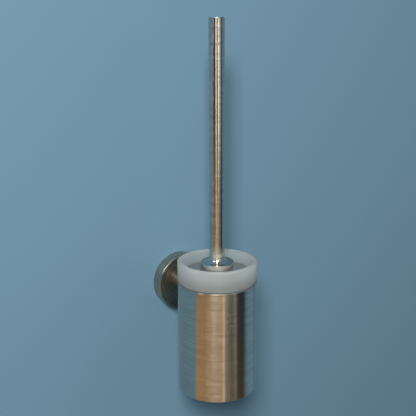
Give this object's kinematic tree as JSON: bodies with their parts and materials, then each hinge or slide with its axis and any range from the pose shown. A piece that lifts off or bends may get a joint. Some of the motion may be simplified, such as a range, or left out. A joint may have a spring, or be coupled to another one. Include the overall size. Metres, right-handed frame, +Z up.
{
  "type": "toilet brush holder",
  "caption": "Wall-mounted toilet brush set: round rosette and short arm carrying a steel sleeve with a frosted glass insert, and a lidded brush on a long tubular handle.",
  "frame": {"origin": "centre of the rosette's back face, on the wall", "axes": "+Y into the wall, +Z up, +X to the right for someone facing the wall; the object stands out towards -Y"},
  "size_m": [0.084, 0.1224, 0.39],
  "materials": {
    "cast_zinc": "die-cast zinc, matt",
    "rosette_steel": "satin nickel, turned",
    "arm_steel": "satin nickel",
    "sleeve_steel": "stainless steel brushed round the sleeve",
    "base_steel": "plain rolled stainless steel",
    "handle_steel": "stainless tube brushed round its axis",
    "collar_steel": "turned, bright on top and satin on the side",
    "lid_steel": "satin stainless steel",
    "fastener_steel": "zinc-plated steel",
    "frosted_glass": "acid-etched clear glass",
    "seat_plastic": "soft black plastic",
    "gasket_rubber": "black rubber",
    "core_plastic": "moulded white polypropylene",
    "bristle_nylon": "white nylon bristles"
  },
  "bodies": {
    "holder": {"wall_plate": "cast_zinc", "rosette": "rosette_steel", "rosette_set_screw": "fastener_steel", "arm": "arm_steel", "arm_stud": "fastener_steel", "arm_washer": "fastener_steel", "arm_nut": "fastener_steel", "arm_dowel": "fastener_steel", "sleeve": "sleeve_steel", "sleeve_base": "base_steel", "seat_ring": "seat_plastic"},
    "insert": {"glass_insert": "frosted_glass"},
    "brush": {"handle_tube": "handle_steel", "handle_end": "handle_steel", "handle_bush": "fastener_steel", "collar": "collar_steel", "lid": "lid_steel", "lid_gasket": "gasket_rubber", "lid_washer": "fastener_steel", "lid_nut": "fastener_steel", "brush_stud": "fastener_steel", "brush_core": "core_plastic", "bristles": "bristle_nylon"}
  },
  "joints": [
    {"name": "insert_lift", "type": "slide", "parent": "holder", "child": "insert", "axis": [0, 0, 1], "range_m": [0, 0.13]},
    {"name": "brush_lift", "type": "slide", "parent": "insert", "child": "brush", "axis": [0, 0, 1], "range_m": [0, 0.15]}
  ]
}
